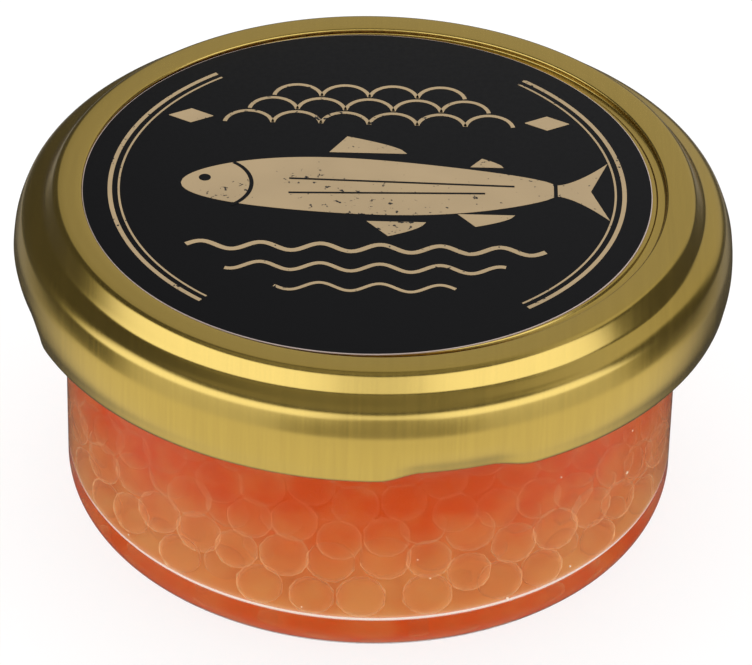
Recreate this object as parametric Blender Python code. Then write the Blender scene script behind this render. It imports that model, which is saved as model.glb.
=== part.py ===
"""A short glass jar of salmon roe, shut with a four-lug twist-off lid.

Four solids share one upright axis, each with a finish of its own: the glass jar, the
heap of roe that fills it, the metal lid, and the round label in the lid's recess.
Metres, +Z up. The origin is the middle of the ring that the jar stands on, and the
front, where the label reads upright, faces -Y.
"""

import math
import random

import bmesh
import bpy
from mathutils import Quaternion, Vector

# Every clearance between neighbouring solids
CLEARANCE = 0.0003

# Glass jar
JAR_RADIUS = 0.0317
JAR_HEIGHT = 0.03675
JAR_SEGMENTS = 48
HEEL_REACH = 0.0068
HEEL_HEIGHT = 0.0049
FOOT_WIDTH = 0.0020
PUSH_UP = 0.0011
WALL = 0.0026
FLOOR_Z = 0.0040
CORNER_RADIUS = 0.0045
FLARE_FOOT_Z = 0.0240
NECK_FOOT_Z = 0.0272
NECK_RADIUS = 0.0330
NECK_TOP_Z = 0.0349
LIP_OUTER_RADIUS = 0.0319
LIP_INNER_RADIUS = 0.0303
LIP_ROUNDING = 0.0007
MOUTH_FOOT_Z = 0.0304

# Lid
LID_TOP_Z = 0.0374
LID_SEGMENTS = 52
SHEET = 0.00035
PANEL_RADIUS = 0.0293
PANEL_DEPTH = 0.0011
CROWN_INNER_RADIUS = 0.0299
CROWN_OUTER_RADIUS = 0.0326
STEP_DEPTH = 0.0013
BAND_INNER_RADIUS = 0.0334
SHOULDER_RADIUS = 0.0015
EDGE_ROUNDING = 0.0003
WAIST_RADIUS = 0.0362
WAIST_Z = 0.0337
SKIRT_RADIUS = 0.03687
BULGE_TOP_Z = 0.0312
BULGE_FOOT_Z = 0.0292
LID_FOOT_Z = 0.0268
CURL_RADIUS = 0.0009

# The four lugs, where the curl is pressed in and up
LUG_COUNT = 4
LUG_FIRST_ANGLE = 14.0
LUG_HALF_ANGLE = 11.0
LUG_EASE_ANGLE = 4.0
LUG_PRESS = 0.0009
LUG_REACH = 0.0005
LUG_LIFT = 0.0006

# Label
LABEL_RADIUS = 0.0288
LABEL_THICKNESS = 0.0002
LABEL_OFFSET = (-0.00055, 0.00035)
LABEL_SEGMENTS = 48

# Salmon roe
EGG_RADIUS = 0.00242
EGG_SIZE_SPREAD = 0.04
EGG_PITCH = 0.0050
EGG_WANDER = 0.00008
EGG_SHOWING = 0.0017
EGG_SIDES = 6
EGG_BANDS = 4
ROW_PITCH = 0.0043
ROW_COUNT = 5
ROE_TOP_Z = 0.0325
ROE_SEGMENTS = 32
ROE_SEED = 7

WELD = 0.000001

# Linear colours
GLASS_COLOUR = (0.93, 0.96, 0.95)
GOLD_COLOUR = (0.55, 0.37, 0.09)
LABEL_COLOUR = (0.017, 0.017, 0.019)
ROE_COLOUR = (0.80, 0.20, 0.045)


def clear_scene():
    """Remove whatever objects the file opened with."""
    for item in list(bpy.data.objects):
        bpy.data.objects.remove(item, do_unlink=True)


def finish(name, colour, roughness, metallic=0.0, transmission=0.0):
    """A Principled material of one colour."""
    material = bpy.data.materials.new(name)
    material.use_nodes = True
    shader = material.node_tree.nodes["Principled BSDF"]
    shader.inputs["Base Color"].default_value = (*colour, 1.0)
    shader.inputs["Roughness"].default_value = roughness
    shader.inputs["Metallic"].default_value = metallic
    shader.inputs["Transmission Weight"].default_value = transmission
    material.diffuse_color = (*colour, 1.0)
    return material


def arc(centre, radii, start, end, steps):
    """Points on an elliptical arc in the (radius, height) plane, angles in degrees."""
    points = []
    for step in range(steps + 1):
        angle = math.radians(start + (end - start) * step / steps)
        points.append((centre[0] + radii[0] * math.cos(angle), centre[1] + radii[1] * math.sin(angle)))
    return points


def turned_mesh(profile, segments):
    """Spin a (radius, height) profile, whose two ends are on the axis, into a closed mesh."""
    shape = bmesh.new()
    corners = [shape.verts.new((radius, 0.0, height)) for radius, height in profile]
    sides = [shape.edges.new(pair) for pair in zip(corners, corners[1:])]
    bmesh.ops.spin(
        shape,
        geom=corners + sides,
        cent=(0.0, 0.0, 0.0),
        axis=(0.0, 0.0, 1.0),
        angle=math.tau,
        steps=segments,
        use_merge=True,
    )
    bmesh.ops.remove_doubles(shape, verts=shape.verts, dist=WELD)
    bmesh.ops.recalc_face_normals(shape, faces=shape.faces)
    return shape


def add_object(name, shape, material, crease_angle=40.0):
    """Turn a finished bmesh into a named, smoothly shaded object with one material."""
    mesh = bpy.data.meshes.new(name)
    shape.to_mesh(mesh)
    shape.free()
    mesh.materials.append(material)
    mesh.shade_smooth()
    mesh.set_sharp_from_angle(angle=math.radians(crease_angle))
    item = bpy.data.objects.new(name, mesh)
    bpy.context.scene.collection.objects.link(item)
    return item


def jar_profile():
    """Section of the glass: pushed-up base, foot ring, heel, wall, neck, lip, bore and floor."""
    foot_radius = JAR_RADIUS - HEEL_REACH
    bore = JAR_RADIUS - WALL
    ring_radius = foot_radius - FOOT_WIDTH
    outside = [(0.0, PUSH_UP), (ring_radius - PUSH_UP, PUSH_UP), (ring_radius, 0.0)]
    outside += arc((foot_radius, HEEL_HEIGHT), (HEEL_REACH, HEEL_HEIGHT), -90.0, 0.0, 5)
    outside += [(JAR_RADIUS, FLARE_FOOT_Z), (NECK_RADIUS, NECK_FOOT_Z), (NECK_RADIUS, NECK_TOP_Z)]
    rounding = (LIP_ROUNDING, LIP_ROUNDING)
    lip_z = JAR_HEIGHT - LIP_ROUNDING
    lip = arc((LIP_OUTER_RADIUS - LIP_ROUNDING, lip_z), rounding, 0.0, 90.0, 2)
    lip += arc((LIP_INNER_RADIUS + LIP_ROUNDING, lip_z), rounding, 90.0, 180.0, 1)
    inside = [(bore, MOUTH_FOOT_Z)]
    corner = (bore - CORNER_RADIUS, FLOOR_Z + CORNER_RADIUS)
    inside += arc(corner, (CORNER_RADIUS, CORNER_RADIUS), 0.0, -90.0, 4)
    inside += [(0.0, FLOOR_Z)]
    return outside + lip + inside


def make_jar():
    """The glass jar, one turned wall with its floor."""
    glass = finish("clear glass", GLASS_COLOUR, 0.03, transmission=1.0)
    return add_object("glass_jar", turned_mesh(jar_profile(), JAR_SEGMENTS), glass)


def lid_outside():
    """Top of the lid's section: sunk panel, flat crown, step, band, shoulder, waist and skirt."""
    panel_z = LID_TOP_Z - PANEL_DEPTH
    band_z = LID_TOP_Z - STEP_DEPTH
    shoulder_centre = (WAIST_RADIUS - SHOULDER_RADIUS, band_z - SHOULDER_RADIUS)
    points = [(0.0, panel_z), (PANEL_RADIUS, panel_z)]
    recess_corner = (CROWN_INNER_RADIUS - EDGE_ROUNDING / 3.0, panel_z + EDGE_ROUNDING)
    points += [recess_corner, (CROWN_INNER_RADIUS, LID_TOP_Z - EDGE_ROUNDING)]
    points += [(CROWN_INNER_RADIUS + EDGE_ROUNDING, LID_TOP_Z)]
    points += [(CROWN_OUTER_RADIUS - EDGE_ROUNDING, LID_TOP_Z)]
    points += [(CROWN_OUTER_RADIUS + EDGE_ROUNDING, LID_TOP_Z - 2.0 * EDGE_ROUNDING)]
    points += [(BAND_INNER_RADIUS, band_z)]
    points += arc(shoulder_centre, (SHOULDER_RADIUS, SHOULDER_RADIUS), 90.0, 0.0, 3)
    points += [(WAIST_RADIUS, WAIST_Z), (SKIRT_RADIUS, BULGE_TOP_Z), (SKIRT_RADIUS, BULGE_FOOT_Z)]
    return points


def lid_curl():
    """The rolled foot of the skirt, a bead that closes the section at the bottom."""
    centre = (SKIRT_RADIUS - EDGE_ROUNDING - CURL_RADIUS, LID_FOOT_Z + CURL_RADIUS)
    return arc(centre, (CURL_RADIUS, CURL_RADIUS), 0.0, -180.0, 4)


def lid_inside():
    """Underside of the lid's section, one sheet thickness within the outside."""
    panel_z = LID_TOP_Z - PANEL_DEPTH - SHEET
    band_z = LID_TOP_Z - STEP_DEPTH - SHEET
    crown_z = LID_TOP_Z - SHEET
    waist = WAIST_RADIUS - SHEET
    points = [(SKIRT_RADIUS - SHEET, BULGE_FOOT_Z), (SKIRT_RADIUS - SHEET, BULGE_TOP_Z), (waist, WAIST_Z)]
    points += [(waist - SHOULDER_RADIUS, band_z), (BAND_INNER_RADIUS - SHEET, band_z)]
    points += [(CROWN_OUTER_RADIUS - SHEET, crown_z), (CROWN_INNER_RADIUS + SHEET, crown_z)]
    points += [(PANEL_RADIUS + SHEET, panel_z), (0.0, panel_z)]
    return points


def lug_strength(angle):
    """How far a lug is pressed at this angle: 1 over its flat, easing to 0 beside it."""
    spacing = 360.0 / LUG_COUNT
    from_lug = (angle - LUG_FIRST_ANGLE + spacing / 2.0) % spacing - spacing / 2.0
    share = (LUG_HALF_ANGLE + LUG_EASE_ANGLE / 2.0 - abs(from_lug)) / LUG_EASE_ANGLE
    share = min(max(share, 0.0), 1.0)
    return share * share * (3.0 - 2.0 * share)


def press_lugs(shape):
    """Push the foot of the skirt in and up at each lug, most at the bottom."""
    for corner in shape.verts:
        radius = math.hypot(corner.co.x, corner.co.y)
        if corner.co.z > BULGE_TOP_Z - WELD or radius < WAIST_RADIUS - 2.0 * CURL_RADIUS:
            continue
        depth = (BULGE_TOP_Z - corner.co.z) / (BULGE_TOP_Z - LID_FOOT_Z)
        strength = lug_strength(math.degrees(math.atan2(corner.co.y, corner.co.x))) * depth
        inner_share = max(SKIRT_RADIUS - SHEET - radius, 0.0) / CURL_RADIUS
        pressed = radius - strength * (LUG_PRESS + LUG_REACH * min(inner_share, 1.0))
        corner.co.x *= pressed / radius
        corner.co.y *= pressed / radius
        corner.co.z += strength * LUG_LIFT


def make_lid():
    """The twist-off lid, a turned sheet with its four lugs pressed in."""
    gold = finish("gold lacquer", GOLD_COLOUR, 0.28, metallic=1.0)
    shape = turned_mesh(lid_outside() + lid_curl() + lid_inside(), LID_SEGMENTS)
    press_lugs(shape)
    return add_object("lid", shape, gold)


def make_label():
    """The thin round label, a little off the lid's middle, just clear of its panel."""
    foot_z = LID_TOP_Z - PANEL_DEPTH + CLEARANCE
    black = finish("black label", LABEL_COLOUR, 0.4)
    section = [(0.0, foot_z), (LABEL_RADIUS, foot_z)]
    section += [(LABEL_RADIUS, foot_z + LABEL_THICKNESS), (0.0, foot_z + LABEL_THICKNESS)]
    shape = turned_mesh(section, LABEL_SEGMENTS)
    bmesh.ops.translate(shape, vec=(*LABEL_OFFSET, 0.0), verts=shape.verts)
    return add_object("label", shape, black)


def roe_core_profile():
    """Section of the packed inside of the heap, the eggs' showing depth within the bore."""
    inset = CLEARANCE + EGG_SHOWING
    wall = JAR_RADIUS - WALL - inset
    corner = CORNER_RADIUS - inset
    floor = FLOOR_Z + inset
    points = [(0.0, floor)]
    points += arc((wall - corner, floor + corner), (corner, corner), -90.0, 0.0, 2)
    points += [(wall, ROE_TOP_Z - corner), (wall - corner, ROE_TOP_Z), (0.0, ROE_TOP_Z)]
    return points


def egg_rings():
    """Radius, height and downward tilt of each ring of eggs that shows through the glass."""
    wall = JAR_RADIUS - WALL - CLEARANCE
    slack = (CORNER_RADIUS - CLEARANCE - EGG_RADIUS) * math.sqrt(0.5)
    corner_radius = JAR_RADIUS - WALL - CORNER_RADIUS + slack
    corner_height = FLOOR_Z + CORNER_RADIUS - slack
    rings = [(corner_radius, corner_height, 45.0)]
    for row in range(1, ROW_COUNT + 1):
        rings.append((wall - EGG_RADIUS, corner_height + ROW_PITCH * row, 0.0))
    floor_radius = corner_radius - EGG_PITCH
    while floor_radius > 0.0:
        rings.append((floor_radius, FLOOR_Z + CLEARANCE + EGG_RADIUS, 90.0))
        floor_radius -= EGG_PITCH
    return rings


def faceted_egg(size, outward, spin):
    """One low-sided ball whose pole faces the glass, as a mesh."""
    shape = bmesh.new()
    bmesh.ops.create_uvsphere(shape, u_segments=EGG_SIDES, v_segments=EGG_BANDS, radius=size)
    turn = outward.to_track_quat("Z", "Y") @ Quaternion((0.0, 0.0, 1.0), spin)
    bmesh.ops.rotate(shape, cent=(0.0, 0.0, 0.0), matrix=turn.to_matrix(), verts=shape.verts)
    mesh = bpy.data.meshes.new("egg")
    shape.to_mesh(mesh)
    shape.free()
    return mesh


def add_eggs(collection):
    """Lay the showing eggs ring by ring, every second ring half a step round, sizes a little uneven."""
    draw = random.Random(ROE_SEED)
    for number, (ring_radius, height, tilt) in enumerate(egg_rings()):
        count = max(int(math.tau * ring_radius / EGG_PITCH), 1)
        down = math.radians(tilt)
        for index in range(count):
            size = EGG_RADIUS * (1.0 - draw.uniform(0.0, EGG_SIZE_SPREAD))
            wander = draw.uniform(-EGG_WANDER, EGG_WANDER) / ring_radius
            angle = math.tau * (index + 0.5 * (number % 2)) / count + wander
            level = Vector((math.cos(angle), math.sin(angle), 0.0))
            outward = level * math.cos(down) - Vector((0.0, 0.0, math.sin(down)))
            egg = bpy.data.objects.new("egg", faceted_egg(size, outward, draw.uniform(0.0, math.tau)))
            egg.location = level * ring_radius + Vector((0.0, 0.0, height))
            collection.objects.link(egg)


def make_roe():
    """The heap of roe: a solid core with the eggs that show against the glass joined on."""
    orange = finish("salmon roe", ROE_COLOUR, 0.25)
    roe = add_object("roe", turned_mesh(roe_core_profile(), ROE_SEGMENTS), orange)
    eggs = bpy.data.collections.new("eggs")
    bpy.context.scene.collection.children.link(eggs)
    add_eggs(eggs)
    union = roe.modifiers.new("eggs", "BOOLEAN")
    union.operation = "UNION"
    union.operand_type = "COLLECTION"
    union.collection = eggs
    union.solver = "EXACT"
    bpy.context.view_layer.update()
    joined = bpy.data.meshes.new_from_object(roe.evaluated_get(bpy.context.evaluated_depsgraph_get()))
    roe.modifiers.clear()
    roe.data = joined
    roe.data.name = "roe"
    for egg in list(eggs.objects):
        bpy.data.objects.remove(egg, do_unlink=True)
    bpy.data.collections.remove(eggs)
    return roe


clear_scene()
make_jar()
make_roe()
make_lid()
make_label()
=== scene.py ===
"""A shut glass jar of salmon roe, dressed round its packed CAD frame.

Every piece is a surface worked out with numpy: sections turned about the jar's axis, round
eggs flattened against their neighbours, and plates between the label's curves.
Metres, +Z up, the label reads upright from -Y, and every object's place is in its mesh.
"""

import math

import bpy
import numpy as np
from mathutils import Matrix, Vector


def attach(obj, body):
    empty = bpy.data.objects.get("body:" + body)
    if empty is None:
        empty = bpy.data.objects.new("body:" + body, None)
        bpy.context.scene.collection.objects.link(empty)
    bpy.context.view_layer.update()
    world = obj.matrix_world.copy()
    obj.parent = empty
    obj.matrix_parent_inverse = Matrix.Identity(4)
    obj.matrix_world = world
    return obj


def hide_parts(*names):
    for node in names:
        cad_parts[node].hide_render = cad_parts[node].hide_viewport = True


bl_info = {
    "name": "Salmon Roe Jar",
    "version": (1, 0, 0),
    "blender": (4, 5, 0),
    "location": "View3D > Sidebar > Roe Jar",
    "description": "Builds a shut glass jar of salmon roe round its CAD frame",
    "category": "Add Mesh",
}

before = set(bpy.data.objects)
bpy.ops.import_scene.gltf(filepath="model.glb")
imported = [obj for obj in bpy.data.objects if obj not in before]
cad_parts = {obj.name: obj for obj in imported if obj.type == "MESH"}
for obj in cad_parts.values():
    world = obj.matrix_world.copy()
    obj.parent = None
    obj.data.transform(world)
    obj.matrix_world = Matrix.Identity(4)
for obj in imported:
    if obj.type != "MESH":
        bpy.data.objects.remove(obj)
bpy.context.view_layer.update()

BODY = "root"
TAU = math.tau
TINY = 1e-7
WHITE = (1.0, 1.0, 1.0)


# Settings


def setting(kind, **fixed):
    """A function that makes properties of one kind from a description and a default."""
    return lambda about, default: kind(name="", description=about, default=default, **fixed)


def named(group):
    """Give each property of a group a name, its field's own with spaces and a capital."""
    for field, made in group.__annotations__.items():
        made.keywords["name"] = field.replace("_", " ").capitalize()
    return group


length = setting(bpy.props.FloatProperty, unit="LENGTH", precision=5)
angle = setting(bpy.props.FloatProperty, unit="ROTATION")
share = setting(bpy.props.FloatProperty, subtype="FACTOR", min=0.0, max=1.0)
number = setting(bpy.props.FloatProperty)
colour = setting(bpy.props.FloatVectorProperty, subtype="COLOR", size=3, min=0.0, max=1.0)
count = setting(bpy.props.IntProperty, min=0)


@named
class GlassSettings(bpy.types.PropertyGroup):
    """Sizes and colour of the glass jar."""

    radius: length("Outer radius of the straight wall", 0.0317)
    height: length("Foot to top of the lip", 0.03675)
    heel_reach: length("Width of the rounded heel", 0.0068)
    heel_height: length("Height of the rounded heel", 0.0049)
    foot_width: length("Width of the ring that the jar stands on", 0.0012)
    push_up: length("Rise of the base inside its foot ring", 0.0022)
    flank: length("Width of the slope up from the foot ring", 0.0060)
    bore: length("Inner radius of the wall", 0.0291)
    floor_z: length("Height of the inner floor", 0.0041)
    corner: length("Radius between inner floor and wall", 0.0022)
    flare_foot_z: length("Foot of the flare under the neck", 0.0240)
    neck_foot_z: length("Top of the flare", 0.0272)
    neck_radius: length("Outer radius of the neck bead", 0.0330)
    neck_top_z: length("Top of the neck bead", 0.0349)
    lip_outer: length("Outer radius of the lip", 0.0319)
    lip_inner: length("Inner radius of the lip", 0.0303)
    mouth_foot_z: length("Height where the bore starts to widen", 0.0304)
    rounding: length("Softness of the edges", 0.0007)
    segments: count("Sides round the axis", 256)
    tint: colour("Colour of the glass", (0.985, 0.995, 0.99))
    waviness: length("Height of the surface's slow ripple", 0.00002)
    fill_z: length("Height up to which the glass is wet", 0.0331)
    mirror: share("Reflection of the dry glass", 0.10)
    wetted_mirror: share("Reflection of the wetted glass", 0.04)


@named
class RoeSettings(bpy.types.PropertyGroup):
    """Sizes and colours of the eggs, their core and the brine."""

    egg_radius: length("Mean radius of an egg", 0.00238)
    spread: share("Share by which the eggs' radii differ", 0.07)
    eggs: count("How many eggs fill the jar", 900)
    rounds: count("How often overlapping eggs are pushed apart", 110)
    seed: count("Start of the random draws", 7)
    top_z: length("Top of the heap", 0.0328)
    skin_gap: length("Brine between the eggs and the glass", 0.00006)
    shown_depth: length("Depth down to which eggs are made one by one", 0.0086)
    core_depth: length("Depth at which the core starts", 0.0048)
    core_lift: length("Gap between the core and the inner floor", 0.0003)
    core_spread: length("Gap between the core's foot and the wall", 0.0009)
    core_foot: length("Height of the core's foot", 0.0030)
    # The eggs go from the deeper to the paler colour partly at random and partly by height; the paler tone
    # low down is painted light from below.
    pale: colour("Colour of the paler eggs", (0.88, 0.38, 0.12))
    deep: colour("Colour of the deeper eggs", (0.66, 0.12, 0.012))
    rim: colour("Colour of an egg's milky rim", (1.0, 0.69, 0.38))
    # Skin and rim are milkiest at the jar's foot and fade higher up: painted light from below.
    skin_veil: share("Milkiness of an egg's skin seen straight on", 0.10)
    rim_veil: share("Milkiness of an egg's skin at its rim", 0.64)
    rim_sharpness: number("How narrow the milky rim is", 1.6)
    # Inside the heap: a deep colour, and a paler copy of it low down that is painted light from below.
    core: colour("Colour inside the heap", (0.61, 0.072, 0.003))
    core_painted_light: colour("Colour inside the heap's foot", (0.69, 0.325, 0.105))
    # Heights of the painted light from below: fullest under the first, gone above the second.
    painted_light_low: length("Height below which the heap is palest", 0.0050)
    painted_light_high: length("Height above which the heap is deepest", 0.0172)
    dark_low: length("Height below which the core is deep again", 0.00442)
    dark_high: length("Height above which the core is pale", 0.0048)
    brine: colour("Tint of the liquid", (1.0, 0.86, 0.72))
    brine_reach: length("Reach of the liquid into the glass", 0.00005)
    bubble_radius: length("Mean radius of a bubble", 0.00015)


@named
class LidSettings(bpy.types.PropertyGroup):
    """Sizes and colour of the pressed lid."""

    top_z: length("Height of the crown", 0.0374)
    recess: length("Depth of the panel below the crown", 0.00035)
    groove: length("Depth of the groove round the panel", 0.00025)
    panel: length("Radius where the groove starts", 0.0287)
    groove_outer: length("Outer radius of the groove", 0.0297)
    crown_inner: length("Inner radius of the flat crown", 0.0298)
    crown_outer: length("Outer radius of the flat crown", 0.0326)
    step_foot: length("Radius at the foot of the step", 0.0338)
    step_drop: length("Height of the step below the crown", 0.0018)
    band_outer: length("Outer radius of the band below the step", 0.0352)
    band_fall: length("Fall of the band outward", 0.0004)
    waist: length("Radius at the foot of the shoulder", 0.0359)
    shoulder_z: length("Height where the shoulder ends", 0.0347)
    crease_z: length("Height of the crease under the shoulder", 0.0336)
    crease: length("Width of the crease beyond the waist", 0.00045)
    bulge_z: length("Height where the skirt turns upright", 0.0326)
    skirt: length("Greatest radius of the skirt", 0.03687)
    swell_top_z: length("Top of the skirt's widest part", 0.0308)
    swell_foot_z: length("Foot of the skirt's widest part", 0.0292)
    foot_z: length("Height of the curl's lowest line", 0.0268)
    foot_in: length("How far the skirt draws in at its foot", 0.0003)
    curl: length("Radius of the rolled edge", 0.0009)
    sheet: length("Thickness of the tinplate", 0.00022)
    lugs: count("Number of lugs", 4)
    lug_first: angle("Angle of the first lug from +X", math.radians(14.0))
    lug_half: angle("Half the angle that a lug takes up", math.radians(9.0))
    lug_ease: angle("Angle over which a lug fades out", math.radians(7.0))
    lug_press: length("How far a lug's foot is pushed in", 0.0007)
    lug_lift: length("How far a lug's foot is pushed up", 0.00045)
    segments: count("Sides round the axis", 320)
    gold: colour("Colour of the lacquered metal", (0.552, 0.383, 0.083))
    gloss: share("Mean roughness of the brushed finish", 0.24)
    streak: length("Width of one brushed streak", 0.00011)


@named
class LabelSettings(bpy.types.PropertyGroup):
    """Sizes and colours of the round label and its print."""

    radius: length("Radius of the label", 0.02905)
    shift_x: length("Shift right of the lid's middle", -0.00074)
    shift_y: length("Shift behind the lid's middle", -0.00011)
    paper: length("Thickness of the paper", 0.00013)
    face: length("Thickness of the black face", 0.00003)
    edge: length("Width of bare paper round the black face", 0.0001)
    ink: length("Thickness of the print", 0.00002)
    segments: count("Sides round the label", 240)
    black: colour("Colour of the label's face", (0.0045, 0.0045, 0.0050))
    pale: colour("Colour of the cut paper edge", (0.52, 0.42, 0.38))
    tan: colour("Colour of the print", (0.405, 0.290, 0.152))


@named
class StageSettings(bpy.types.PropertyGroup):
    """Camera, floor and studio light."""

    distance: length("Camera to aim point", 0.5)
    aim_z: length("Height of the aim point", 0.020)
    elevation: angle("Camera's height above the horizon", math.radians(35.59))
    roll: angle("Camera's turn about its own line of sight", math.radians(1.35))
    focal_pixels: number("Focal length in pixels of the photograph", 4810.0)
    aim_left: number("Pixels from the frame's middle left to the aim point", 4.6)
    aim_up: number("Pixels from the frame's middle up to the aim point", 8.9)
    floor_radius: length("Radius of the round floor", 0.165)
    floor: colour("Colour of the floor", (0.30, 0.30, 0.30))
    floor_glow: number("Strength of the floor's own light", 0.72)
    even_light: number("Strength of the even light", 1.20)


# Shapes


def unit(vectors):
    """Vectors brought to length 1."""
    return vectors / np.linalg.norm(vectors, axis=1)[:, None]


def left_of(path):
    """Unit normal to the left of a path at each of its points."""
    slope = unit(np.gradient(path, axis=0))
    return np.column_stack([-slope[:, 1], slope[:, 0]])


def rounded_path(corners, cuts, steps=8):
    """Replace each corner C of a polyline by a parabola that leaves it at its cut length.

    With A and B the points at the cut on either side of C, the points are
    (1 - t)^2 A + 2 t (1 - t) C + t^2 B for t from 0 to 1. A cut of 0 keeps the corner sharp.
    """
    corners = np.asarray(corners, float)
    cuts = np.asarray(cuts, float)[:, None]
    before = unit(np.roll(corners, 1, axis=0) - corners)
    after = unit(np.roll(corners, -1, axis=0) - corners)
    t = np.linspace(0.0, 1.0, steps)[None, :, None]
    start = (corners + before * cuts)[:, None]
    end = (corners + after * cuts)[:, None]
    curve = (1.0 - t) ** 2 * start + 2.0 * t * (1.0 - t) * corners[:, None] + t ** 2 * end
    return without_repeats(curve.reshape(-1, 2))


def without_repeats(points):
    """Drop each point that repeats the one before it."""
    apart = np.linalg.norm(np.diff(points, axis=0), axis=1) > TINY
    return points[np.concatenate([[True], apart])]


def arc_points(centre, radii, start, end, steps):
    """Points centre + radii (cos a, sin a) for a from start to end in degrees, one radius or two."""
    angles = np.radians(np.linspace(start, end, steps))
    return np.asarray(centre) + np.column_stack([np.cos(angles), np.sin(angles)]) * radii


def filled_in(path, spacing):
    """Add points at even spacing along a polyline, save where one of its own is near."""
    run = np.concatenate([[0.0], np.cumsum(np.linalg.norm(np.diff(path, axis=0), axis=1))])
    extra = np.arange(spacing, run[-1], spacing)
    near = np.abs(extra[:, None] - run[None]).min(axis=1) < spacing / 3.0
    stations = np.sort(np.concatenate([run, extra[~near]]))
    return np.column_stack([np.interp(stations, run, path[:, 0]), np.interp(stations, run, path[:, 1])])


def turned(section, segments):
    """Turn a section about the upright axis: (r cos a, r sin a, z) for every point and angle.

    The section runs counter-clockwise in (radius, height) from pole to pole on the axis. Each
    pole is one point with a fan of triangles, and the last angle joins the first.
    """
    area = np.sum(section[:-1, 0] * section[1:, 1] - section[1:, 0] * section[:-1, 1])
    if area < 0.0:
        section = section[::-1]
    angles = TAU * np.arange(segments) / segments
    spin = np.column_stack([np.cos(angles), np.sin(angles), np.ones(segments)])
    section = section[:, [0, 0, 1]]
    rings = section[1:-1, None] * spin
    points = np.concatenate([rings.reshape(-1, 3), section[[0, -1]] * (0.0, 0.0, 1.0)])
    corner = np.arange(len(points) - 2).reshape(-1, segments)
    onward = np.roll(corner, -1, axis=1)
    quads = np.stack([corner[:-1], onward[:-1], onward[1:], corner[1:]], axis=-1).reshape(-1, 4)
    first, last = np.repeat([[len(points) - 2], [len(points) - 1]], segments, axis=1)
    fans = np.stack([[first, last], [onward[0], corner[-1]], [corner[0], onward[-1]]], axis=-1)
    return points, [quads, fans.reshape(-1, 3)]


def grid_cells(grid):
    """The four corners of every cell of a grid of point numbers."""
    return np.stack([grid[:-1, :-1], grid[1:, :-1], grid[1:, 1:], grid[:-1, 1:]], axis=-1).reshape(-1, 4)


def repeated(shapes, quads):
    """One mesh of many shapes with the same quads, from their points as (shape, point, 3)."""
    starts = np.arange(len(shapes)) * shapes.shape[1]
    return shapes.reshape(-1, 3), [(quads + starts[:, None, None]).reshape(-1, 4)]


def new_object(name, points, polygons, material):
    """A smooth mesh object of points and of polygons, which are arrays of point numbers."""
    mesh = bpy.data.meshes.new(name)
    mesh.from_pydata(points.tolist(), [], [face for part in polygons for face in part.tolist()])
    if mesh.validate():
        raise RuntimeError(name + " has faces that are not sound")
    mesh.shade_smooth()
    mesh.materials.append(material)
    made = bpy.data.objects.new(name, mesh)
    bpy.context.scene.collection.objects.link(made)
    return made


def new_piece(name, points, polygons, material, slot, *nodes):
    """An object that rides on the jar and stands for the given CAD nodes."""
    piece = new_object(name, points, polygons, material)
    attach(piece, BODY)
    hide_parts(*nodes)
    return piece


# Materials


def set_inputs(tree, node, inputs):
    """Link a node's inputs to sockets, or set them to plain values."""
    for name, value in inputs.items():
        if isinstance(value, bpy.types.NodeSocket):
            tree.links.new(value, node.inputs[name])
        else:
            node.inputs[name].default_value = value


def add_node(tree, kind, inputs=None, **fields):
    """Add a shader node, set its fields, and set or link its inputs."""
    made = tree.nodes.new("ShaderNode" + kind)
    for field, value in fields.items():
        setattr(made, field, value)
    set_inputs(tree, made, inputs or {})
    return made


def new_material(name, **numbers):
    """A Principled material with the given even numbers, and its node tree."""
    material = bpy.data.materials.new(name)
    material.use_nodes = True
    principled(material.node_tree, **numbers)
    return material, material.node_tree


def principled(tree, **inputs):
    """Set or link the Principled shader's inputs, which are named with _ for a space."""
    inputs = {name.replace("_", " "): value for name, value in inputs.items()}
    set_inputs(tree, tree.nodes["Principled BSDF"], inputs)


def object_place(tree):
    """Object coordinates."""
    return add_node(tree, "TexCoord").outputs["Object"]


def noise(tree, scale, detail, roughness=0.5):
    """Noise on Object coordinates, its scale in cycles a metre, even or along x, y and z."""
    scales = scale if isinstance(scale, tuple) else (scale, scale, scale)
    inputs = {"Vector": object_place(tree), "Scale": scales}
    place = add_node(tree, "Mapping", inputs).outputs["Vector"]
    inputs = {"Vector": place, "Scale": 1.0, "Detail": detail, "Roughness": roughness}
    return add_node(tree, "TexNoise", inputs).outputs[0]


def remap(tree, value, low, high, to_low=0.0, to_high=1.0, kind="LINEAR"):
    """Carry a value from one range to another, straight or in a smooth step."""
    inputs = {"Value": value, "From Min": low, "From Max": high, "To Min": to_low, "To Max": to_high}
    return add_node(tree, "MapRange", inputs, interpolation_type=kind).outputs["Result"]


def combine(tree, kind, *values):
    """One Math node on two or three values."""
    return add_node(tree, "Math", dict(enumerate(values)), operation=kind).outputs[0]


def weighted_sum(tree, *terms):
    """The sum of values, each times its weight."""
    total = 0.0
    for value, weight in terms:
        total = combine(tree, "MULTIPLY_ADD", value, weight, total)
    return total


def vector_math(tree, kind, *values):
    """One Vector Math node: the number of a distance or a dot product, or else its vector."""
    outputs = add_node(tree, "VectorMath", dict(enumerate(values)), operation=kind).outputs
    return outputs["Value" if kind in {"DISTANCE", "DOT_PRODUCT"} else "Vector"]


def opaque(tone):
    """A colour with its alpha, or a socket as it is."""
    return tone if isinstance(tone, bpy.types.NodeSocket) else (*tone, 1.0)


def shaded(tone, factor):
    """A colour times a factor."""
    return tuple(factor * part for part in tone)


def blend(tree, part, first, second):
    """Mix two colours by a share."""
    inputs = {0: part, 6: opaque(first), 7: opaque(second)}
    return add_node(tree, "Mix", inputs, data_type="RGBA").outputs[2]


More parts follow.
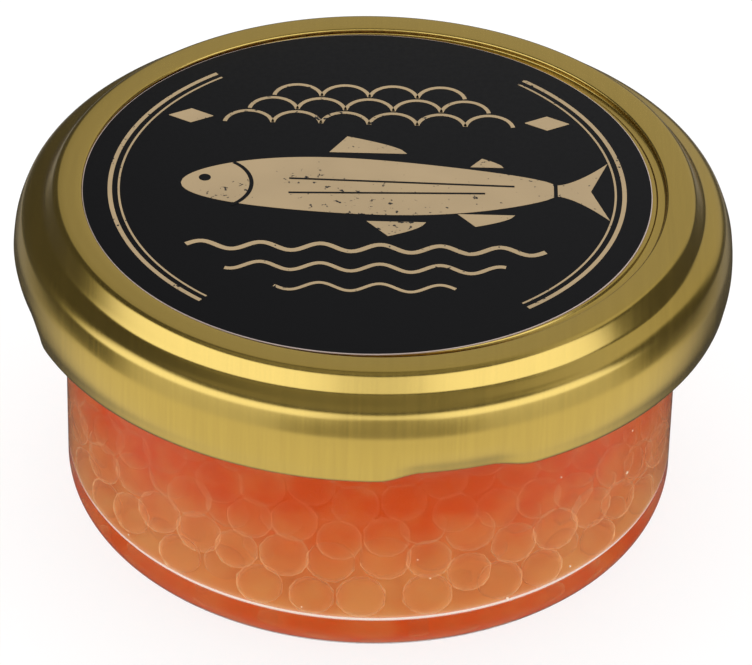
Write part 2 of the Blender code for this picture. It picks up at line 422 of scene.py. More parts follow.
def bump(tree, height, distance, strength=1.0):
    """A Bump node's normal for a height in the given distance."""
    inputs = {"Height": height, "Distance": distance, "Strength": strength}
    return add_node(tree, "Bump", inputs).outputs["Normal"]


def mix_shaders(tree, part, first, second):
    """Show the second shader by a share, and the first for the rest."""
    return add_node(tree, "MixShader", {0: part, 1: first.outputs[0], 2: second.outputs[0]})


def show_instead(tree, part, shader):
    """Show another shader by a share in place of the Principled one."""
    shown = mix_shaders(tree, part, tree.nodes["Principled BSDF"], shader)
    set_inputs(tree, tree.nodes["Material Output"], {"Surface": shown.outputs[0]})


def is_mirrored(tree):
    """1 for a ray that a shiny surface throws back, and 0 for one that passes through it."""
    ray = add_node(tree, "LightPath").outputs
    return combine(tree, "SUBTRACT", ray["Is Glossy Ray"], ray["Is Transmission Ray"])


def let_light_in(tree, tint):
    """Let the light that falls on matt things inside go straight through a clear material."""
    ray = add_node(tree, "LightPath").outputs
    falls = combine(tree, "MAXIMUM", ray["Is Diffuse Ray"], ray["Is Shadow Ray"])
    show_instead(tree, falls, add_node(tree, "BsdfTransparent", {"Color": opaque(tint)}))


def height_share(tree, low, high):
    """1 below the low height and 0 above the high one, on Object coordinates."""
    level = add_node(tree, "SeparateXYZ", {0: object_place(tree)}).outputs["Z"]
    return remap(tree, level, low, high, 1.0, 0.0, "SMOOTHSTEP")


def glass_finish(glass, name, mirror):
    """Clear moulded glass with a slow ripple; the mirror number sets how strongly it reflects."""
    tint = opaque((mirror, mirror, mirror))
    material, tree = new_material(name, IOR=1.5, Transmission_Weight=1.0, Specular_Tint=tint)
    ripple = noise(tree, (160.0, 160.0, 90.0), 1.0)
    principled(
        tree,
        Base_Color=blend(tree, ripple, glass.tint, WHITE),
        Roughness=remap(tree, ripple, 0.3, 0.7, 0.0, 0.012),
        Normal=bump(tree, ripple, glass.waviness),
    )
    let_light_in(tree, glass.tint)
    return material


def egg_finish(roe):
    """Soft wet egg: a clear skin, milky towards its rim, and both strongest near the jar's foot, which is
    painted light from below.

    Its tone is a weighted sum of the egg's own shade, a cloudy noise and how low it lies; the part from how
    low it lies is painted light.
    """
    material, tree = new_material("salmon egg", IOR=1.1, Roughness=0.6, Specular_IOR_Level=0.0)
    shade = add_node(tree, "Attribute", attribute_name="egg_shade").outputs["Fac"]
    # Painted light from below: 1 at the jar's foot, 0 high up.
    low = height_share(tree, roe.painted_light_low, roe.painted_light_high)
    part = weighted_sum(tree, (shade, 0.35), (noise(tree, 420.0, 2.0), 0.15), (low, 0.4))
    grazing = add_node(tree, "LayerWeight", {"Blend": 0.5}).outputs["Facing"]
    milky = combine(tree, "POWER", grazing, roe.rim_sharpness)
    # Milkier skin and rim low down are painted light from below.
    centre = remap(tree, low, 0.0, 1.0, 0.3 * roe.skin_veil, roe.skin_veil)
    rim = remap(tree, low, 0.0, 1.0, 0.1 * roe.rim_veil, roe.rim_veil)
    tone = blend(tree, milky, blend(tree, part, roe.deep, roe.pale), roe.rim)
    principled(tree, Base_Color=tone, Alpha=remap(tree, milky, 0.0, 1.0, centre, rim))
    return material


def core_finish(roe):
    """The heap's glow between the eggs: deep orange, paler low down where light from below is painted in,
    and deep again on the floor.

    How pale it is, is a weighted sum of the two heights and a cloudy noise.
    """
    material, tree = new_material("roe core", Roughness=0.6, Specular_IOR_Level=0.0)
    # Painted light from below: 1 low down, 0 high up.
    low = height_share(tree, roe.painted_light_low, roe.painted_light_high)
    dark = height_share(tree, roe.dark_low, roe.dark_high)
    cloud = remap(tree, noise(tree, 240.0, 2.0), 0.35, 0.65, -0.08, 0.18)
    part = weighted_sum(tree, (low, 0.8), (dark, -0.672), (cloud, 1.0))
    principled(tree, Base_Color=blend(tree, part, roe.core, roe.core_painted_light))
    return material


def brine_finish(roe):
    """Clear salted liquid, faintly orange, a little deeper in places."""
    material, tree = new_material(
        "brine", IOR=1.34, Transmission_Weight=1.0, Roughness=0.0, Specular_Tint=opaque((0.0, 0.0, 0.0))
    )
    clearer = tuple(0.5 + 0.5 * part for part in roe.brine)
    principled(tree, Base_Color=blend(tree, noise(tree, 60.0, 1.0), roe.brine, clearer))
    let_light_in(tree, clearer)
    return material


def bubble_glint_finish():
    """A tiny bubble, bright all round: a pale coated ball whose brightness is a painted glint."""
    material, tree = new_material("bubble", Coat_Weight=1.0, IOR=1.3)
    # Pale colour standing in for the bubble's glint: painted glint.
    tone = blend(tree, noise(tree, 2000.0, 1.0), (0.95, 0.80, 0.66), (1.0, 0.95, 0.88))
    principled(tree, Base_Color=tone)
    return material


def gold_finish(lid):
    """Gold lacquer over tinplate, brushed front to back in fine streaks among broader ones."""
    material, tree = new_material(
        "gold lacquer", Metallic=1.0, Coat_Weight=0.15, Coat_Roughness=0.18, Coat_IOR=1.5
    )
    across = 0.5 / lid.streak
    fine = noise(tree, (across, 120.0, 150.0), 2.0, 0.6)
    broad = noise(tree, (across / 4.0, 45.0, 60.0), 2.0)
    streaks = weighted_sum(tree, (fine, 0.5), (broad, 0.5))
    part = remap(tree, streaks, 0.35, 0.65)
    principled(
        tree,
        Base_Color=blend(tree, part, shaded(lid.gold, 0.96), shaded(lid.gold, 1.04)),
        Roughness=remap(tree, streaks, 0.3, 0.7, lid.gloss - 0.03, lid.gloss + 0.03),
        Normal=bump(tree, streaks, 0.000001, 0.6),
    )
    return material


def paper_finish(label):
    """Uncoated paper as it shows at the label's cut edge."""
    material, tree = new_material("label paper", Roughness=0.8)
    tone = blend(tree, noise(tree, 2500.0, 2.0), shaded(label.pale, 0.8), label.pale)
    principled(tree, Base_Color=tone)
    return material


def black_finish(label):
    """Smooth black label face with a faint paper grain."""
    material, tree = new_material("label black", Specular_IOR_Level=0.1)
    grain = noise(tree, 1800.0, 3.0)
    principled(
        tree,
        Base_Color=blend(tree, grain, label.black, shaded(label.black, 1.25)),
        Roughness=remap(tree, grain, 0.3, 0.7, 0.42, 0.5),
        Normal=bump(tree, grain, 0.000004, 0.4),
    )
    return material


def ink_finish(label):
    """Tan print, worn through to the black in small flecks that gather in patches."""
    material, tree = new_material("label print", Roughness=0.5)
    patches = noise(tree, 130.0, 2.0)
    worn = weighted_sum(tree, (noise(tree, 1500.0, 3.0, 0.6), 1.0), (patches, 0.35))
    tan = blend(tree, remap(tree, patches, 0.3, 0.7), label.tan, shaded(label.tan, 0.9))
    principled(tree, Base_Color=blend(tree, remap(tree, worn, 0.83, 0.87), tan, label.black))
    return material


# Glass jar


def glass_section(glass):
    """Section of the glass: raised base, foot, heel ellipse, wall, flare, neck, lip, bore and floor."""
    foot = glass.radius - glass.heel_reach
    ring = foot - glass.foot_width
    soft = glass.rounding
    base = [(0.0, glass.push_up), (ring - glass.flank, glass.push_up), (ring, 0.0), (foot, 0.0)]
    base = rounded_path(base, [0.0, 0.0015, 0.0003, 0.0])
    heel = arc_points((foot, glass.heel_height), (glass.heel_reach, glass.heel_height), -90.0, 0.0, 40)
    corner_z = glass.floor_z + glass.corner
    wall = [(glass.radius, glass.heel_height), (glass.radius, glass.flare_foot_z)]
    neck = [(glass.neck_radius, glass.neck_foot_z), (glass.neck_radius, glass.neck_top_z)]
    lip = [(glass.lip_outer, glass.neck_top_z), (glass.lip_outer, glass.height)]
    mouth = [(glass.lip_inner, glass.height), (glass.bore, glass.mouth_foot_z), (glass.bore, corner_z)]
    cuts = [0.0, 0.0012, 0.0012, soft, soft / 2.0, soft, soft, 0.0015, 0.0]
    upper = rounded_path(wall + neck + lip + mouth, cuts)
    corner = arc_points((glass.bore - glass.corner, corner_z), glass.corner, 0.0, -90.0, 24)
    return without_repeats(np.concatenate([base, heel, upper, corner, [(0.0, glass.floor_z)]]))


def cavity_section(glass, inset, lift, top_z):
    """Section of what fills the bore up to a height, with gaps to the wall and to the floor."""
    wall = glass.bore - inset
    corner = max(glass.corner - inset, 0.0008)
    floor_z = glass.floor_z + lift
    turn = arc_points((wall - corner, floor_z + corner), corner, -90.0, 0.0, 20)
    top = rounded_path([(wall, floor_z + corner), (wall, top_z), (0.0, top_z)], [0.0, 0.0006, 0.0])
    return without_repeats(np.concatenate([[(0.0, floor_z)], turn, top]))


# Salmon roe


def core_section(glass, roe):
    """Section of the core: a foot spread out on the inner floor, a straight side and a soft top."""
    foot_z = glass.floor_z + roe.core_lift
    top_z = roe.top_z - roe.core_depth / 2.0
    side = glass.bore - roe.core_depth
    foot = glass.bore - roe.core_spread
    foot_edge = 0.0004
    corners = [(0.0, foot_z), (foot, foot_z), (foot, foot_z + foot_edge)]
    corners += [(side, foot_z + roe.core_foot), (side, top_z), (0.0, top_z)]
    return rounded_path(corners, [0.0, 0.0002, 0.0002, 0.0020, 0.0006, 0.0])


def round_egg(divisions=3):
    """Unit ball from a cube: each face's grid point (1, tan u, tan v) is pushed out to length 1.

    u and v run from -45 to 45 degrees in equal steps. Points that the six faces share are
    merged, and the three faces that are mirrored through the middle are wound backwards.
    """
    steps = np.tan(np.linspace(-TAU / 8.0, TAU / 8.0, divisions + 1))
    across, along = np.meshgrid(steps, steps, indexing="ij")
    sheet = np.stack([np.ones_like(across), across, along], axis=-1).reshape(-1, 3)
    sides = [np.roll(sheet * sign, turn, axis=1) for sign in (1.0, -1.0) for turn in range(3)]
    points = unit(np.concatenate(sides))
    unique, place = np.unique(np.round(points, 6), axis=0, return_inverse=True)
    grid = place.reshape(6, divisions + 1, divisions + 1)
    quads = [grid_cells(side)[:, ::way] for side, way in zip(grid, (1, 1, 1, -1, -1, -1))]
    return unit(unique), np.concatenate(quads)


def keep_inside(centres, radii, glass, roe, softness=0.96):
    """Move egg centres back inside the bore, above the floor, below the top and off the corner.

    An egg may come as near the glass as the softness times its radius.
    """
    pressed = softness * radii
    level = np.linalg.norm(centres[:, :2], axis=1)
    room = glass.bore - roe.skin_gap - pressed
    centres[:, :2] *= np.minimum(1.0, room / np.maximum(level, TINY))[:, None]
    floor_z = glass.floor_z + roe.skin_gap + pressed
    centres[:, 2] = np.clip(centres[:, 2], floor_z, roe.top_z - radii)
    level = np.linalg.norm(centres[:, :2], axis=1)
    corner_level = glass.bore - glass.corner
    corner_z = glass.floor_z + glass.corner
    out = level - corner_level
    down = corner_z - centres[:, 2]
    reach = np.hypot(out, down)
    limit = glass.corner - roe.skin_gap - pressed
    tight = (out > 0.0) & (down > 0.0) & (reach > limit)
    scale = np.where(tight, limit / np.maximum(reach, TINY), 1.0)
    new_level = np.where(tight, corner_level + out * scale, level)
    centres[:, 2] = np.where(tight, corner_z - down * scale, centres[:, 2])
    centres[:, :2] *= (new_level / np.maximum(level, TINY))[:, None]
    return centres


def shaken_heap(glass, roe):
    """Egg centres and radii after shaking: overlapping pairs push each other apart, all at once.

    Each round moves an egg by half the sum of its overlaps, each along the line from the
    other egg, and then back inside the jar.
    """
    draw = np.random.default_rng(roe.seed)
    radii = roe.egg_radius * (1.0 + roe.spread * draw.uniform(-1.0, 1.0, roe.eggs))
    turn = draw.uniform(0.0, TAU, roe.eggs)
    level = (glass.bore - roe.egg_radius) * np.sqrt(draw.uniform(0.0, 1.0, roe.eggs))
    height = draw.uniform(glass.floor_z + roe.egg_radius, roe.top_z - roe.egg_radius, roe.eggs)
    centres = np.column_stack([level * np.cos(turn), level * np.sin(turn), height])
    sums = radii[:, None] + radii[None]
    np.fill_diagonal(sums, 0.0)
    for _ in range(roe.rounds):
        squares = (centres ** 2).sum(axis=1)
        away = np.sqrt(np.maximum(squares[:, None] + squares[None] - 2.0 * centres @ centres.T, TINY ** 2))
        push = np.maximum(sums - away, 0.0) / away
        centres = centres + 0.5 * (push.sum(axis=1)[:, None] * centres - push @ centres)
        centres = keep_inside(centres, radii, glass, roe)
    return centres, radii


def pressed_eggs(centres, radii, shown, glass, roe, power=22.0, near=14, least_lean=0.02):
    """Mesh of the shown eggs, soft eggs flattened where they meet.

    Along a direction u from the centre an egg reaches s, a soft minimum of its radius and,
    for each near neighbour or the wall, the distance along u to the plane between them:
    s = (radius^-p + sum of distance^-p)^(-1/p), where p is the power.
    """
    ball, quads = round_egg()
    gaps = centres[None] - centres[shown][:, None]
    away = np.linalg.norm(gaps, axis=2)
    order = np.argsort(away, axis=1)[:, 1:near + 1]
    rows = np.arange(len(shown))[:, None]
    away = away[rows, order]
    towards = gaps[rows, order] / away[..., None]
    own = radii[shown]
    plane = away * own[:, None] / (own[:, None] + radii[order])
    level = np.linalg.norm(centres[shown][:, :2], axis=1)
    outward = np.column_stack([centres[shown][:, :2] / level[:, None], np.zeros(len(shown))])
    towards = np.concatenate([towards, outward[:, None]], axis=1)
    plane = np.concatenate([plane, (glass.bore - roe.skin_gap - level)[:, None]], axis=1)
    leaning = np.maximum(np.einsum("vk,enk->evn", ball, towards), least_lean)
    inverse = (leaning / plane[:, None]) ** power
    reach = (own[:, None] ** -power + inverse.sum(axis=2)) ** (-1.0 / power)
    return repeated(centres[shown][:, None] + ball * reach[..., None], quads)


# Lid


def lid_outside(lid):
    """Outside of the lid's section, from the middle of the panel out and down to the curl."""
    panel_z = lid.top_z - lid.recess
    step_z = lid.top_z - lid.step_drop
    band_z = step_z - lid.band_fall
    foot = lid.skirt - lid.foot_in
    slant = 0.0002
    groove_z = panel_z - lid.groove
    panel = [(0.0, panel_z), (lid.panel, panel_z)]
    groove = [(lid.panel + slant, groove_z), (lid.groove_outer, groove_z)]
    crown = [(lid.crown_inner, lid.top_z), (lid.crown_outer, lid.top_z)]
    band = [(lid.step_foot, step_z), (lid.band_outer, band_z)]
    waist = [(lid.waist, lid.shoulder_z), (lid.waist + lid.crease, lid.crease_z)]
    skirt = [(lid.skirt - slant, lid.bulge_z), (lid.skirt, lid.swell_top_z)]
    skirt += [(lid.skirt, lid.swell_foot_z), (foot, lid.foot_z + lid.curl)]
    panel_cuts = [0.0, 0.00015, 0.00015, 0.00015, 0.0002]
    skirt_cuts = [0.00045, 0.0003, 0.0003, 0.00055, 0.0005, 0.0005, 0.0008, 0.0007, 0.0]
    return rounded_path(panel + groove + crown + band + waist + skirt, panel_cuts + skirt_cuts)


def lid_section(lid):
    """Whole section of the lid: outside, rolled curl, and the inside one sheet further in.

    The inside is the outside moved along its inward normal by the sheet's thickness.
    """
    outside = filled_in(lid_outside(lid), spacing=0.0008)
    inside = outside - left_of(outside) * lid.sheet
    inside[0, 0] = 0.0
    foot = lid.skirt - lid.foot_in
    curl = arc_points((foot - lid.curl, lid.foot_z + lid.curl), lid.curl, 0.0, -200.0, 16)
    return without_repeats(np.concatenate([outside[:-1], curl, inside[::-1]]))


def press_lugs(points, lid):
    """Push the skirt's foot in and up at each lug: nothing at the swell, most at the curl.

    The push is depth below the swell's top, times a smooth step that is 1 over the lug's
    flat and 0 beside it.
    """
    level = np.hypot(points[:, 0], points[:, 1])
    spacing = TAU / lid.lugs
    turn = np.arctan2(points[:, 1], points[:, 0])
    from_lug = np.abs((turn - lid.lug_first + spacing / 2.0) % spacing - spacing / 2.0)
    part = np.clip((lid.lug_half + lid.lug_ease / 2.0 - from_lug) / lid.lug_ease, 0.0, 1.0)
    part = part * part * (3.0 - 2.0 * part)
    low = np.clip((lid.swell_top_z - points[:, 2]) / (lid.swell_top_z - lid.foot_z), 0.0, 1.0)
    low = np.where(level > lid.waist - 0.003, low, 0.0)
    strength = part * low
    scale = 1.0 - strength * lid.lug_press / np.maximum(level, TINY)
    lifted = points[:, 2] + strength * lid.lug_lift
    return np.column_stack([points[:, :2] * scale[:, None], lifted])


# Label


def disc(radius, low, high, segments):
    """Closed thin disc between two heights, its rim a little rounded."""
    soft = 0.3 * (high - low)
    corners = [(0.0, low), (radius, low), (radius, high), (0.0, high)]
    return turned(rounded_path(corners, [0.0, soft, soft, 0.0], 4), segments)


def patch(lower, upper, low, high):
    """Closed thin plate between two curves: P = lower + v (upper - lower), v from 0 to 1.

    Both curves are (n, 2) arrays. The top and bottom are grids, and the rim joins them.
    """
    rows = 3
    v = np.linspace(0.0, 1.0, rows)[None, :, None]
    flat = (lower[:, None] * (1.0 - v) + upper[:, None] * v).reshape(-1, 2)
    total = len(flat)
    points = np.concatenate([np.column_stack([flat, np.full(total, z)]) for z in (high, low)])
    grid = np.arange(total).reshape(-1, rows)
    over = grid_cells(grid)
    rim = np.concatenate([grid[:, 0], grid[-1, 1:], grid[::-1, -1][1:], grid[0, ::-1][1:]])
    side = np.stack([rim[1:], rim[:-1], rim[:-1] + total, rim[1:] + total], axis=-1)
    return points, np.concatenate([over, over[:, ::-1] + total, side])


def plates(motifs, low, high):
    """One mesh of a plate for every pair of edge curves."""
    parts = [patch(lower, upper, low, high) for lower, upper in motifs]
    starts = np.cumsum([0] + [len(points) for points, _ in parts[:-1]])
    faces = [quads + start for (_, quads), start in zip(parts, starts)]
    return np.concatenate([points for points, _ in parts]), [np.concatenate(faces)]


def stroke(path, width):
    """Edges of a line of even width: its path moved half the width either way along its normal."""
    side = left_of(path) * (width / 2.0)
    return path - side, path + side


def fish_outline(span, height, steps=70):
    """Belly and back curves of a plain fish, nose at the left.

    At a share s of the span, half the depth is half the height times
    1.55 sqrt(s) (1 - s)^0.75 + 0.22 s (1 - s) + 0.2 sqrt(s). The last term leaves the tail's stalk.
    """
    s = np.linspace(0.0, 1.0, steps) ** 1.3
    half = 0.5 * height * (1.55 * np.sqrt(s) * (1.0 - s) ** 0.75 + 0.22 * s * (1.0 - s) + 0.20 * np.sqrt(s))
    x = (s - 0.5) * span
    sway = 0.03 * height * np.sin(TAU * s)
    return np.column_stack([x, sway - half]), np.column_stack([x, sway + half])


def fish_tail(start_x, reach, stalk, spread, steps=16):
    """Both lobes of a forked tail that opens from the stalk to the spread, notched in the middle."""
    u = np.linspace(0.0, 1.0, steps)
    half = stalk + (spread - stalk) * u ** 1.5
    x = start_x + reach * u
    middle = np.column_stack([x - 0.35 * reach * u, 0.0 * u])
    return (middle, np.column_stack([x, half])), (np.column_stack([x, -half]), middle)


def fin(root_x, root_y, width, rise, lean, steps=12):
    """Small fin: a base of the width on the body and a tip edge that leans back."""
    u = np.linspace(0.0, 1.0, steps)
    base = np.column_stack([root_x + width * u, np.full(steps, root_y)])
    tip = np.column_stack([root_x + width * u + lean, root_y + rise * (1.0 - u) ** 0.6])
    return (base, tip) if rise > 0.0 else (tip, base)


# Fins of the fish: root to the right and up from the label's middle, width, rise and lean
FINS = (
    (-0.0040, 0.0062, 0.0062, 0.0030, 0.0018),
    (0.0105, 0.0040, 0.0022, 0.0016, 0.0012),
    (0.0, -0.0062, 0.0038, -0.0026, 0.0022),
    (0.0092, -0.0046, 0.0040, -0.0022, 0.0018),
)


def scale_motifs(radius=0.0025, foot_y=0.0112, rise=0.0026, width=0.00042):
    """Rows of touching scale arcs, each row one arc shorter than the one below."""
    for row, amount in enumerate((6, 5, 4)):
        for place in range(amount):
            centre = ((place - (amount - 1) / 2.0) * 2.0 * radius, foot_y + row * rise)
            yield stroke(arc_points(centre, radius, 9.0, 171.0, 20), width)


def wave_motifs(top_y=-0.0110, drop=0.0034, height=0.00065, wave=0.0060):
    """Sine lines y = top - drop row + height sin(turn x / wave), each shorter and thinner."""
    for row, half in enumerate((0.0180, 0.0140, 0.0090)):
        x = np.linspace(-half, half, 90)
        y = top_y - drop * row + height * np.sin(TAU * x / wave)
        yield stroke(np.column_stack([x, y]), 0.00060 - 0.0001 * row)


def side_motifs(half_turn=52.0, lozenge=(0.0185, 0.0125), width=0.0046, height=0.0026):
    """On either side two bows and a lozenge, whose edges rise as height / 2 (1 - |2 u - 1|)."""
    u = np.linspace(0.0, 1.0, 9)
    half = height / 2.0 * (1.0 - np.abs(2.0 * u - 1.0)) + 0.00003
    for side, facing in ((1.0, 0.0), (-1.0, 180.0)):
        for radius, line in ((0.0262, 0.00045), (0.0253, 0.00022)):
            bow = arc_points((0.0, 0.0), radius, facing - half_turn, facing + half_turn, 80)
            yield stroke(bow, line)
        x = side * lozenge[0] + (u - 0.5) * width
        yield [np.column_stack([x, lozenge[1] + sign * half]) for sign in (-1.0, 1.0)]


def print_motifs():
    """Edge curves of the tan print: fish, scales above it, waves below it, and the sides."""
    fish = fish_outline(span=0.0380, height=0.0118)
    tail = fish_tail(start_x=0.0194, reach=0.0052, stalk=0.0010, spread=0.0052)
    fins = [fin(*sizes) for sizes in FINS]
    return [fish, *tail, *fins, *scale_motifs(), *wave_motifs(), *side_motifs()]


def mark_motifs(start=-0.0080, longest=0.0230):
    """Edge curves of the black marks in the fish: eye, gill line and two lines along its side."""
    eye = [arc_points((-0.0166, 0.0010), 0.00062, 180.0, end, 14) for end in (360.0, 0.0)]
    gill = stroke(arc_points((-0.0160, 0.0), (0.0042, 0.0046), 58.0, -58.0, 24), 0.00042)
    lines = []
    for offset, reach in ((0.0012, 0.0150), (-0.0014, 0.0120)):
        x = np.linspace(start, reach, 40)
        y = offset * (1.0 - 0.5 * (x - start) / longest)
        lines.append(stroke(np.column_stack([x, y]), 0.00030))
    return [eye, gill, *lines]


# Operators


class ROEJAR_OT_glass(bpy.types.Operator):
    """Make the clear glass jar"""

    bl_idname = "roe_jar.glass"
    bl_label = "Glass jar"

    def execute(self, context):
        glass = context.scene.roe_jar_glass
        shape = turned(filled_in(glass_section(glass), 0.0012), glass.segments)
        outer = glass_finish(glass, "clear glass", glass.mirror)
        piece = new_piece("jar_glass", *shape, outer, "clear_glass", "glass_jar")
        piece.data.materials.append(glass_finish(glass, "wetted glass", glass.wetted_mirror))
        self.wet_inside(piece.data, glass)
        return {"FINISHED"}

    def wet_inside(self, mesh, glass, margin=0.0001):
        """Give the faces of the bore and the inner floor that touch the liquid the wetted glass."""
        middles = np.empty(len(mesh.polygons) * 3, np.float32)
        mesh.polygons.foreach_get("center", middles)
        x, y, z = middles.reshape(-1, 3).T
        inside = np.hypot(x, y) < glass.bore + margin
        wet = inside & (z > glass.floor_z - margin) & (z < glass.fill_z)
        mesh.polygons.foreach_set("material_index", wet.astype(np.int32))


class ROEJAR_OT_roe(bpy.types.Operator):
    """Fill the jar with eggs, their core, brine and a few bubbles"""

    bl_idname = "roe_jar.roe"
    bl_label = "Salmon roe"

    def execute(self, context):
        glass = context.scene.roe_jar_glass
        roe = context.scene.roe_jar_roe
        stands_for = ("salmon_roe", "roe")
        self.add_eggs(glass, roe, *stands_for)
        reach = -roe.brine_reach
        core = filled_in(core_section(glass, roe), 0.0015)
        brine = filled_in(cavity_section(glass, reach, reach, roe.top_z + 0.0003), 0.0015)
        new_piece("roe_core", *turned(core, 96), core_finish(roe), *stands_for)
        new_piece("roe_brine", *turned(brine, 192), brine_finish(roe), *stands_for)
        new_piece("roe_bubbles", *self.bubbles(glass, roe), bubble_glint_finish(), *stands_for)
        return {"FINISHED"}

    def add_eggs(self, glass, roe, *stands_for):
        """The eggs that lie near the wall or the floor, each with a shade of its own."""
        centres, radii = shaken_heap(glass, roe)
        from_wall = glass.bore - np.linalg.norm(centres[:, :2], axis=1)
        depth = np.minimum(from_wall, centres[:, 2] - glass.floor_z)
        shown = np.flatnonzero(depth < roe.shown_depth)
        shape = pressed_eggs(centres, radii, shown, glass, roe)
        eggs = new_piece("roe_eggs", *shape, egg_finish(roe), *stands_for)
        shade = eggs.data.attributes.new("egg_shade", "FLOAT", "POINT")
        tones = np.random.default_rng(roe.seed + 1).uniform(0.0, 1.0, len(shown))
        per_egg = len(shape[0]) // len(shown)
        shade.data.foreach_set("value", np.repeat(tones, per_egg).astype(np.float32))

    def bubbles(self, glass, roe, amount=16, lowest=0.0006, reach=0.014):
        """Tiny balls at the glass, most of them low, which follow its inner corner."""
        draw = np.random.default_rng(roe.seed + 2)
        turn = draw.uniform(0.0, TAU, amount)
        height = glass.floor_z + lowest + reach * draw.uniform(0.0, 1.0, amount) ** 2
        radii = roe.bubble_radius * draw.uniform(0.5, 1.3, amount)
        drop = np.clip((glass.floor_z + glass.corner - height) / glass.corner, 0.0, 1.0)
        level = glass.bore - roe.skin_gap - radii - glass.corner * (1.0 - np.sqrt(1.0 - drop ** 2))
        centres = np.column_stack([level * np.cos(turn), level * np.sin(turn), height])
        ball, quads = round_egg(2)
        return repeated(centres[:, None] + ball * radii[:, None, None], quads)


class ROEJAR_OT_lid(bpy.types.Operator):
    """Make the gold four-lug lid"""

    bl_idname = "roe_jar.lid"
    bl_label = "Gold lid"

    def execute(self, context):
        lid = context.scene.roe_jar_lid
        points, polygons = turned(lid_section(lid), lid.segments)
        new_piece("lid_shell", press_lugs(points, lid), polygons, gold_finish(lid), "gold_lacquer", "lid")
        return {"FINISHED"}


class ROEJAR_OT_label(bpy.types.Operator):
    """Lay the round black label with its tan print in the lid"""

    bl_idname = "roe_jar.label"
    bl_label = "Round label"

    def execute(self, context):
        lid = context.scene.roe_jar_lid
        label = context.scene.roe_jar_label
        layers = np.cumsum([lid.top_z - lid.recess, label.paper, label.face, label.ink])
        foot, face_foot, face_top, ink_top = layers
        sunk = label.ink / 2.0
        black = black_finish(label)
        paper = disc(label.radius, foot, face_foot, label.segments)
        face = disc(label.radius - label.edge, face_foot, face_top, label.segments)
        ink = plates(print_motifs(), face_top - sunk, ink_top)
        marks = plates(mark_motifs(), ink_top - sunk, ink_top + sunk)
        for name, (points, polygons), finish in (
            ("label_paper", paper, paper_finish(label)),
            ("label_face", face, black),
            ("label_print", ink, ink_finish(label)),
            ("label_marks", marks, black),
        ):
            points = points + (label.shift_x, label.shift_y, 0.0)
            piece = new_piece(name, points, polygons, finish, "black_label", "label")
            piece.data.set_sharp_from_angle(angle=math.radians(40.0))
        return {"FINISHED"}


PHOTO_WIDTH = 752.0
ROOM_GLOW = 0.09

# Studio cards: azimuth from the front towards +X, inner and outer half-width, lowest and highest
# elevation, strength
STUDIO_CARDS = (
    (158, 24, 38, 5, 55, 0.54),
    (120, 36, 50, 45, 64, 0.75),
    (-52, 32, 56, 10, 47, 1.85),
    (50, 28, 38, 10, 47, 1.85),
    (0, 24, 34, 18, 44, 1.25),
    (0, 30, 50, -30, 20, 0.42),
    (-50, 18, 36, -30, 14, 0.85),
    (56, 18, 36, -30, 14, 0.80),
    (0, 178, 179, 60, 120, 0.30),
)
CARD_SOFTNESS = 5.0


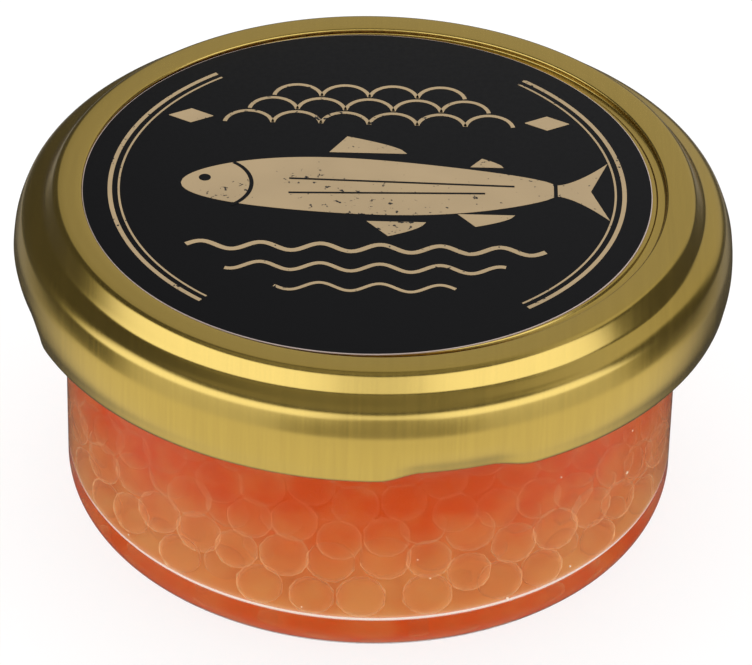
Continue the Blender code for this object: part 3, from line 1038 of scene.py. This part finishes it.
class ROEJAR_OT_stage(bpy.types.Operator):
    """Set the floor, the soft studio light and the camera"""

    bl_idname = "roe_jar.stage"
    bl_label = "Stage"

    def execute(self, context):
        scene = context.scene
        stage = scene.roe_jar_stage
        scene.view_settings.view_transform = "Standard"
        paths = scene.cycles
        paths.blur_glossy = 0.0
        paths.max_bounces = 32
        paths.transmission_bounces = 24
        paths.diffuse_bounces = 8
        paths.transparent_max_bounces = 32
        self.add_floor(stage)
        self.add_light(scene, stage)
        self.add_camera(scene, stage)
        return {"FINISHED"}

    def add_floor(self, stage):
        """A round mottled floor; its mirror image carries painted shade: a painted shadow round a point
        behind the jar, and painted dimming towards the back.
        """
        rings = np.linspace(0.0, stage.floor_radius, 8)
        under, over = (np.column_stack([rings, np.full(8, z)]) for z in (-0.002, -0.00002))
        material, tree = new_material("pale floor", Roughness=0.9, Specular_IOR_Level=0.1)
        tone = blend(tree, noise(tree, 3.0, 2.0), shaded(stage.floor, 0.985), stage.floor)
        own_light = {"Emission_Color": opaque(WHITE), "Emission_Strength": stage.floor_glow}
        principled(tree, Base_Color=tone, **own_light)
        place = object_place(tree)
        away = vector_math(tree, "DISTANCE", place, (0.0, 0.04, 0.0))
        depth = add_node(tree, "SeparateXYZ", {0: place}).outputs["Y"]
        # Painted shade seen only in reflections: a painted shadow of the jar round a point behind it, and
        # painted dimming towards the back.
        painted_jar_shadow = remap(tree, away, 0.066, 0.088, 0.15, 1.02)
        painted_back_shade = remap(tree, depth, -0.03, 0.03, 1.0, 0.35, "SMOOTHSTEP")
        glow = combine(tree, "MULTIPLY", painted_jar_shadow, painted_back_shade)
        show_instead(tree, is_mirrored(tree), add_node(tree, "Emission", {"Strength": glow}))
        floor = new_object("floor", *turned(np.concatenate([under, over[::-1]]), 128), material)
        floor.data.shade_flat()

    def add_light(self, scene, stage):
        """Even white light for matt surfaces, and soft cards in a dim room for glossy ones.

        A card is its strength times smooth steps at its sides and edges. The bright ones are cool.
        """
        world = bpy.data.worlds.new("studio")
        world.use_nodes = True
        world.cycles.sampling_method = "NONE"
        scene.world = world
        tree = world.node_tree
        tree.nodes.clear()
        direction = add_node(tree, "TexCoord").outputs["Generated"]
        level = vector_math(tree, "NORMALIZE", vector_math(tree, "MULTIPLY", direction, (1.0, 1.0, 0.0)))
        height = add_node(tree, "SeparateXYZ", {0: direction}).outputs["Z"]
        glow = ROOM_GLOW
        for azimuth, inner, outer, low, high, strength in STUDIO_CARDS:
            turn = math.radians(azimuth)
            facing = vector_math(tree, "DOT_PRODUCT", level, (math.sin(turn), -math.cos(turn), 0.0))
            limits = [math.cos(math.radians(half)) for half in (outer, inner)]
            card = remap(tree, facing, *limits, 0.0, strength, "SMOOTHSTEP")
            for edge, soft in ((low, CARD_SOFTNESS), (high, -CARD_SOFTNESS)):
                limits = [math.sin(math.radians(end)) for end in (edge - soft, edge + soft)]
                rise = remap(tree, height, *limits, 0.0, 1.0, "SMOOTHSTEP")
                card = combine(tree, "MULTIPLY", card, rise)
            glow = combine(tree, "MAXIMUM", card, glow)
        tone = blend(tree, remap(tree, glow, 0.6, 1.4), WHITE, (1.0, 1.06, 1.35))
        even, cards, backdrop = (
            add_node(tree, "Background", {"Color": opaque(tint), "Strength": strength})
            for tint, strength in ((WHITE, stage.even_light), (tone, glow), (WHITE, 1.0))
        )
        lit = mix_shaders(tree, is_mirrored(tree), even, cards)
        in_view = add_node(tree, "LightPath").outputs["Is Camera Ray"]
        seen = mix_shaders(tree, in_view, lit, backdrop)
        add_node(tree, "OutputWorld", {"Surface": seen.outputs[0]})

    def add_camera(self, scene, stage):
        """A long-lens camera in front and above, turned a little about its own line of sight."""
        data = bpy.data.cameras.new("camera")
        data.sensor_width = 36.0
        data.lens = stage.focal_pixels / PHOTO_WIDTH * data.sensor_width
        data.shift_x = stage.aim_left / PHOTO_WIDTH
        data.shift_y = -stage.aim_up / PHOTO_WIDTH
        data.clip_start = 0.01
        camera = bpy.data.objects.new("camera", data)
        back = Vector((0.0, -math.cos(stage.elevation), math.sin(stage.elevation)))
        place = Matrix.Translation(Vector((0.0, 0.0, stage.aim_z)) + stage.distance * back)
        facing = back.to_track_quat("Z", "Y").to_matrix().to_4x4()
        camera.matrix_world = place @ facing @ Matrix.Rotation(stage.roll, 4, "Z")
        scene.collection.objects.link(camera)
        scene.camera = camera


class ROEJAR_PT_panel(bpy.types.Panel):
    """Lists the pieces of the roe jar"""

    bl_idname = "ROEJAR_PT_panel"
    bl_label = "Roe Jar"
    bl_space_type = "VIEW_3D"
    bl_region_type = "UI"
    bl_category = "Roe Jar"

    def draw(self, context):
        for made in MAKERS:
            self.layout.operator(made.bl_idname)
        for name, group in SETTINGS.items():
            box = self.layout.box()
            box.label(text=group.__doc__)
            for field in group.__annotations__:
                box.prop(getattr(context.scene, name), field)


SETTINGS = {
    "roe_jar_glass": GlassSettings,
    "roe_jar_roe": RoeSettings,
    "roe_jar_lid": LidSettings,
    "roe_jar_label": LabelSettings,
    "roe_jar_stage": StageSettings,
}
MAKERS = (ROEJAR_OT_glass, ROEJAR_OT_roe, ROEJAR_OT_lid, ROEJAR_OT_label, ROEJAR_OT_stage)


def register():
    """Register the settings, operators and panel."""
    for made in (*SETTINGS.values(), *MAKERS, ROEJAR_PT_panel):
        bpy.utils.register_class(made)
    for name, group in SETTINGS.items():
        setattr(bpy.types.Scene, name, bpy.props.PointerProperty(type=group))


def unregister():
    """Take the panel, operators and settings away again."""
    for name in SETTINGS:
        delattr(bpy.types.Scene, name)
    for made in (ROEJAR_PT_panel, *MAKERS, *SETTINGS.values()):
        bpy.utils.unregister_class(made)


def main():
    """Register, make every piece and the stage."""
    register()
    bpy.ops.roe_jar.glass()
    bpy.ops.roe_jar.roe()
    bpy.ops.roe_jar.lid()
    bpy.ops.roe_jar.label()
    bpy.ops.roe_jar.stage()


if __name__ == "__main__":
    main()
